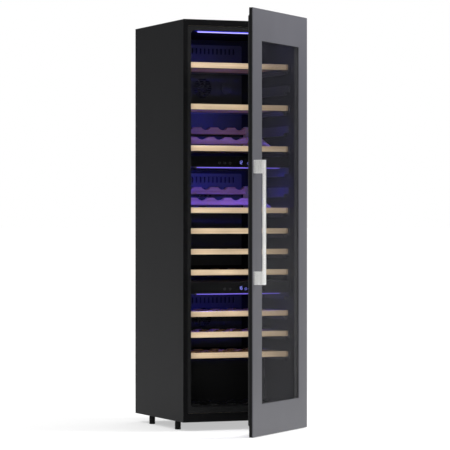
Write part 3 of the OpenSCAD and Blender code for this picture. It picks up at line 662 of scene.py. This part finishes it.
beech_across = beech("beech_across", 0, [(0.60, 0.44, 0.275), (0.74, 0.575, 0.385)],
                     (0.42, 0.27, 0.15))
beech_inward = beech("beech_inward", 1, [(0.40, 0.28, 0.165), (0.51, 0.375, 0.24)],
                     (0.28, 0.175, 0.095))
# The battens and rack rests are darkened to a reddish brown: painted shade, not a different wood.
shade_painted_beech = beech("shade_painted_beech", 0, [(0.235, 0.115, 0.06), (0.33, 0.175, 0.098)],
                      (0.14, 0.065, 0.033))
for number in range(1, 11):
    node = ("display_shelf_%d" if number in (3, 4) else "shelf_%d") % number
    lo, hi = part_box(node)
    z1 = lo.z + board_h - rail_drop
    z0 = z1 - rail_h
    board_y, board_z = lo.y + board_t, lo.z + board_h
    wood = [block((lo.x + end_w, lo.y, lo.z), (hi.x - end_w, board_y, board_z), edge / 2)]
    inner = hi.x - rail_set - rail_w
    for side in (-1, 1):
        x0, x1 = sorted((side * (hi.x - end_w), side * hi.x))
        wood.append(block((x0, lo.y, lo.z), (x1, board_y, board_z), edge / 2, coat=1))
        x0, x1 = sorted((side * inner, side * (hi.x - rail_set)))
        wood.append(block((x0, board_y, z0), (x1, hi.y, z1), edge, along=1, coat=1))
    for y in lo.y + batten_start + batten_gap * np.arange(5):
        wood.append(scalloped((-inner, y, z0), (inner, y + batten_d, z1), 0.044, 0.008, coat=2))
    if number in (3, 4):
        side_x = hi.x - 0.03
        outline = [(front + 0.15, z1), (front + 0.46, z1), (front + 0.46, hi.z),
                   (front + 0.43, hi.z)]
        for side in (-1, 1):
            x0, x1 = sorted((side * (side_x - cheek_w), side * side_x))
            wood.append(cheek(outline, x0, x1))
        for y, rise, radius in ((0.27, 0.028, 0.034), (0.432, 0.078, 0.026)):
            wood.append(scalloped((cheek_w - side_x, front + y, z1 + rise - 0.012),
                                  (side_x - cheek_w, front + y + rest_d, z1 + rise + 0.02),
                                  radius, 0.012, coat=2))
    piece(node + "_board", wood, [beech_across, beech_inward, shade_painted_beech],
          "pull_out_shelf_%d" % number, [node])

# ---------------------------------------------------------------- door panel
# A hollow panel of folded sheet with a satin graphite finish. Its front turns in round the window
# over the edge of the glass. It is drawn shut and then swung about its pins, as it stands open.
hinge = [j for j in frame["joints"] if j["name"] == "door_hinge"][0]
pin = np.array(hinge["pos_m"])
open_angle = -math.radians(hinge["range_deg"][0])


def turn_about_pin(points, angle):
    """Points turned about the upright line through the pins, by angle anticlockwise from above."""
    out = np.array(points, float)
    x, y = out[..., 0] - pin[0], out[..., 1] - pin[1]
    out[..., 0] = pin[0] + x * math.cos(angle) - y * math.sin(angle)
    out[..., 1] = pin[1] + x * math.sin(angle) + y * math.cos(angle)
    return out


def shut(node):
    """A door node's lowest and highest corner with the door shut: its points turned back."""
    co = np.empty(len(nodes[node].data.vertices) * 3)
    nodes[node].data.vertices.foreach_get("co", co)
    back = turn_about_pin(co.reshape(-1, 3), -open_angle)
    return back.min(0), back.max(0)


def swung(parts):
    """Shells drawn on the shut door, turned to where the door stands."""
    return [(turn_about_pin(points, open_angle), faces, coat) for points, faces, coat in parts]


def nested(rings, lo_z, hi_z, coat=0):
    """A frame: its rows are upright rectangles with round corners, each joined to the next and the
    last to the first. A ring is (half width, drawn in from lo_z and hi_z, corner radius, y)."""
    half, inset, radius, y = np.array(rings, float).T
    return shell(rectangles(0, 2, -half, half, lo_z + inset, hi_z - inset, radius, y, 5),
                 ring=True, coat=coat)


door_lo, door_hi = shut("door_frame")
glass_lo, glass_hi = shut("outer_glass")
skin = 0.0015
lap = 0.0095
lip_d = 0.0042
soft = 0.0008
half_door = (door_hi[0] - door_lo[0]) / 2
half_window = (glass_hi[0] - glass_lo[0]) / 2 - lap
rail = glass_lo[2] + lap - door_lo[2]
face, back = door_lo[1], door_hi[1]
graphite = finish("graphite", [(0.067, 0.067, 0.078), (0.075, 0.075, 0.087)], (0.3, 0.38), 0.0009,
                  0.000012, metal=0.35, draw=(1, 1, 0.5), cloud=5)
edge_dark = finish("edge_dark", [(0.0022, 0.0023, 0.0026), (0.0034, 0.0035, 0.0038)], (0.42, 0.52),
                   0.0012, 0.00002, shine=0.12)
round_over = 0.0012
quarter = np.linspace(0, np.pi / 2, 4)
outer_edge = [(half_door - round_over * (1 - math.cos(t)), round_over * (1 - math.cos(t)), 0.0015,
               face + round_over * (1 - math.sin(t))) for t in quarter]
seat_x, seat_z = half_window + lap, rail - lap
panel_front = [(half_door, 0, 0.0015, face + lip_d)] + outer_edge + [
    (half_window + 0.001, rail - 0.001, 0.002, face),
    (half_window + 0.0003, rail - 0.0003, 0.0015, face + 0.0003),
    (half_window, rail, 0.0012, face + 0.001),
    (half_window, rail, 0.0012, face + skin),
    (seat_x, seat_z, 0.001, face + skin),
    (seat_x, seat_z, 0.001, face + lip_d)]
panel_back = [(half_door, 0, 0.0015, face + lip_d),
              (half_door, 0, 0.0015, back - soft),
              (half_door - soft, soft, 0.0012, back),
              (seat_x + soft, seat_z - soft, 0.001, back),
              (seat_x, seat_z, 0.001, back - soft),
              (seat_x, seat_z, 0.001, face + lip_d)]
door_shells = [nested(panel_front, door_lo[2], door_hi[2]),
               nested(panel_back, door_lo[2], door_hi[2], coat=1)]
piece("door_panel", swung(door_shells), [graphite, edge_dark], "door", ["door_frame"])

# ---------------------------------------------------------------- insulating glass
# Two toughened panes with a black spacer between them, the outer one tinted and both coated, so
# that they mirror their surroundings faintly at a slant.


def pane_glass(name, tint, least, most):
    """Glass as seen by eye: the share of light that it shows of itself rises from `least`, square
    on, to `most` at a glancing angle, as Fresnel's law has it; the rest passes straight through."""
    made = finish(name, [tint, tuple(1.15 * c for c in tint)], (0.13, 0.15), 0.3, shine=0.2)
    tree = made.node_tree
    law = tree.nodes.new("ShaderNodeFresnel")
    law.inputs["IOR"].default_value = 1.5
    share = tree.nodes.new("ShaderNodeMapRange")
    share.inputs["From Min"].default_value = 0.04
    share.inputs["To Min"].default_value = least
    share.inputs["To Max"].default_value = most
    tree.links.new(law.outputs["Fac"], share.inputs["Value"])
    tree.links.new(share.outputs["Result"], tree.nodes["Principled BSDF"].inputs["Alpha"])
    made.surface_render_method = "BLENDED"
    return made


dress(pane_glass("tinted_pane", (0.03, 0.03, 0.038), 0.07, 0.12), "outer_glass")
dress(pane_glass("inner_pane", (0.02, 0.02, 0.025), 0.03, 0.07), "inner_glass")
spacer_black = finish("spacer_black", [(0.008, 0.008, 0.008), (0.012, 0.012, 0.012)], (0.5, 0.65),
                      0.0015, 0.00005)
dress(spacer_black, "glass_spacer")

# ---------------------------------------------------------------- inner profile and gasket
# A black plastic profile round the back of the door grips the foot of the gasket: a bellows of
# soft rubber with a flat magnetic lip, which stops just short of the front frame when shut.
prof_lo, prof_hi = shut("inner_frame")
profile_w = 0.046
profile_d = prof_hi[1] - prof_lo[1]
profile_black = finish("profile_black", [(0.012, 0.012, 0.013), (0.017, 0.017, 0.018)],
                       (0.36, 0.48), 0.0012, 0.00005)
gasket_rubber = finish("gasket_rubber", [(0.007, 0.007, 0.0075), (0.011, 0.011, 0.0115)],
                       (0.5, 0.62), 0.0008, 0.00004)


def edging(name, section, lo, hi, material, node):
    """A closed strip round the door: its section, rows of (way in from the outline, corner radius,
    way back from lo's y), is carried round the rectangle from lo to hi and swung with the door."""
    half = (hi[0] - lo[0]) / 2
    rings = [(half - inset, inset, radius, lo[1] + y) for inset, radius, y in section]
    piece(name, swung([nested(rings, lo[2], hi[2])]), [material], "door", [node])


edging("inner_profile",
       [(0, 0.003, 0), (0, 0.003, profile_d - 0.0015), (0.0005, 0.0028, profile_d - 0.0005),
        (0.0015, 0.0025, profile_d), (0.007, 0.003, profile_d), (0.007, 0.003, 0.008),
        (0.021, 0.003, 0.008), (0.021, 0.003, profile_d), (profile_w - 0.002, 0.005, profile_d),
        (profile_w - 0.0006, 0.0056, profile_d - 0.0007), (profile_w, 0.006, profile_d - 0.002),
        (profile_w, 0.006, 0)],
       prof_lo, prof_hi, profile_black, "inner_frame")
lip_lo, lip_hi = shut("door_gasket")
edging("gasket",
       [(0.0025, 0.0025, 0), (0.0025, 0.0028, 0.005), (0.0004, 0.0035, 0.0054), (0, 0.004, 0.006),
        (0.0016, 0.004, 0.0072), (0.0016, 0.004, 0.0076), (0, 0.004, 0.0086),
        (0.0004, 0.004, 0.0102), (0.0015, 0.0036, 0.0106), (0.0185, 0.003, 0.0106),
        (0.0196, 0.003, 0.0102), (0.02, 0.003, 0.0086), (0.0184, 0.003, 0.0076),
        (0.0184, 0.003, 0.0072), (0.02, 0.003, 0.006), (0.0196, 0.003, 0.0054),
        (0.018, 0.003, 0.005), (0.018, 0.003, 0)],
       lip_lo, lip_hi, gasket_rubber, "door_gasket")

# ---------------------------------------------------------------- handle
# A flat bar of brushed stainless steel like the two posts that carry it, lighter as a painted
# highlight.
# Each post has a neck under the bar and a groove near its foot, and is screwed on from behind.
bar_lo, bar_hi = shut("handle_bar")
post_lo, post_hi = shut("handle_posts")
post_h = 0.056
neck = 0.003
cut_d = 0.001
groove_from_door = 0.0075
brush_draw = (1, 1, 0.012)
# The bar's steel is near white: a painted highlight on the same metal as the posts.
highlight_painted_steel = finish("highlight_painted_steel", [(0.92, 0.92, 0.9), (0.98, 0.98, 0.96)], (0.26, 0.32), 0.0005,
                      0.000004, metal=1.0, draw=brush_draw, cloud=500)
brushed = finish("brushed", [(0.68, 0.68, 0.665), (0.80, 0.80, 0.785)], (0.24, 0.4), 0.0005,
                 0.000012, metal=1.0, draw=brush_draw, cloud=500)


def post(z0, z1):
    """A post along Y: rows of round-cornered rectangles, drawn in by a millimetre over the neck
    where it meets the bar, and over the groove's width near the door."""
    depth = post_hi[1] - post_lo[1]
    groove = depth - groove_from_door
    y, inset = np.array([(0, cut_d), (neck, cut_d), (neck + 0.0004, 0), (groove - 0.0018, 0),
                         (groove - 0.0014, cut_d), (groove + 0.0014, cut_d), (groove + 0.0018, 0),
                         (depth, 0)]).T
    return shell(rectangles(0, 2, post_lo[0] + inset, post_hi[0] - inset, z0 + inset, z1 - inset,
                            0.0012, post_lo[1] + y))


handle = [block(bar_lo, bar_hi, 0.0012, along=2, coat=1), post(post_lo[2], post_lo[2] + post_h),
          post(post_hi[2] - post_h, post_hi[2])]
piece("handle", swung(handle), [brushed, highlight_painted_steel], "door",
      ["handle_bar", "handle_posts"])

# ---------------------------------------------------------------- studio
# A plain pale floor that glows a little of itself, under a soft overcast dome that is brightest
# overhead and darker to the right. Two softboxes light the casing and the door. Blue area lights
# stand in for what the three lamps throw down and back, and onto the walls beside them.
floor_half = 600
floor_glow = 0.48
floor = bpy.data.objects.new("floor", bpy.data.meshes.new("floor"))
signs = ((-1, -1), (1, -1), (1, 1), (-1, 1))
floor.data.from_pydata([(x * floor_half, y * floor_half, 0) for x, y in signs], [], [(0, 1, 2, 3)])
bpy.context.scene.collection.objects.link(floor)
pale = finish("pale_floor", [(0.45, 0.45, 0.45), (0.46, 0.46, 0.46)], (0.6, 0.7), 0.05, cloud=0.5,
              shine=0.1)
pale_shader = pale.node_tree.nodes["Principled BSDF"]
pale_shader.inputs["Emission Color"].default_value = (1, 1, 1, 1)
pale_shader.inputs["Emission Strength"].default_value = floor_glow
floor.data.materials.append(pale)

dome = bpy.data.worlds.new("dome")
bpy.context.scene.world = dome
dome.use_nodes = True
sky = dome.node_tree
sky.nodes.clear()
way = sky.nodes.new("ShaderNodeTexCoord")
parts = sky.nodes.new("ShaderNodeSeparateXYZ")
sky.links.new(way.outputs["Generated"], parts.inputs["Vector"])


def graded(value, a, b, low, high):
    """value run from low to high, smoothly, as it goes from a to b."""
    span = sky.nodes.new("ShaderNodeMapRange")
    span.interpolation_type = "SMOOTHSTEP"
    for key, number in (("From Min", a), ("From Max", b), ("To Min", low), ("To Max", high)):
        span.inputs[key].default_value = number
    sky.links.new(value, span.inputs["Value"])
    return span.outputs["Result"]


overhead = graded(parts.outputs["Z"], 0.1, 0.95, 0.0, 2.15)
sideways = graded(parts.outputs["X"], -0.6, 0.75, 0.14, 0.05)
total = sky.nodes.new("ShaderNodeMath")
sky.links.new(overhead, total.inputs[0])
sky.links.new(sideways, total.inputs[1])
light = sky.nodes.new("ShaderNodeBackground")
sky.links.new(total.outputs[0], light.inputs["Strength"])
white = sky.nodes.new("ShaderNodeBackground")
white.inputs["Strength"].default_value = 1.0
white.inputs["Color"].default_value = (1, 1, 1, 1)
path = sky.nodes.new("ShaderNodeLightPath")
blend = sky.nodes.new("ShaderNodeMixShader")
sky.links.new(path.outputs["Is Camera Ray"], blend.inputs["Fac"])
sky.links.new(light.outputs[0], blend.inputs[1])
sky.links.new(white.outputs[0], blend.inputs[2])
done = sky.nodes.new("ShaderNodeOutputWorld")
sky.links.new(blend.outputs[0], done.inputs["Surface"])


def softbox(name, place, aim, size, watts, colour=(1, 1, 1), spread=180):
    """A flat light at place, facing aim: its own -Z axis is turned onto the way between the two."""
    made = bpy.data.objects.new(name, bpy.data.lights.new(name, "AREA"))
    made.data.shape = "RECTANGLE"
    made.data.size, made.data.size_y = size
    made.data.energy = watts
    made.data.color = colour
    made.data.spread = math.radians(spread)
    made.location = place
    made.rotation_euler = (Vector(aim) - Vector(place)).to_track_quat("-Z", "Y").to_euler()
    bpy.context.scene.collection.objects.link(made)


softbox("front_light", (-2.6, -5.5, 1.4), (0, -0.2, 0.7), (2.4, 2.4), 84)
softbox("door_light", (2.1, -0.9, 3.1), (0.15, -0.5, 1.8), (1.0, 0.8), 62, spread=110)
lamp_blue = (0.06, 0.055, 1.0)
wall_share = 0.2
for (top, y), watts in zip(lamp_seats, (0.75, 2.8, 1.1)):
    beside = wall_share * watts
    softbox("lamp_light", (0, y + lamp_d / 2, top - lamp_h - 0.0008), (0, y + 0.22, top - 0.2),
            (lamp_hi.x - lamp_lo.x, 0.008), watts, lamp_blue, 110)
    for side in (-1, 1):
        softbox("wall_glow", (side * 0.1, y + 0.02, top - 0.03),
                (side * 0.24, y + 0.11, top - 0.12), (0.05, 0.02), beside, lamp_blue, 120)
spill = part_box("shelf_2")[0]
softbox("lamp_spill", (0, spill.y + 0.04, spill.z - 0.01), (0, spill.y + 0.15, spill.z - 0.2),
        (0.4, 0.02), 1.6, lamp_blue)

bpy.context.scene.view_settings.view_transform = "Standard"
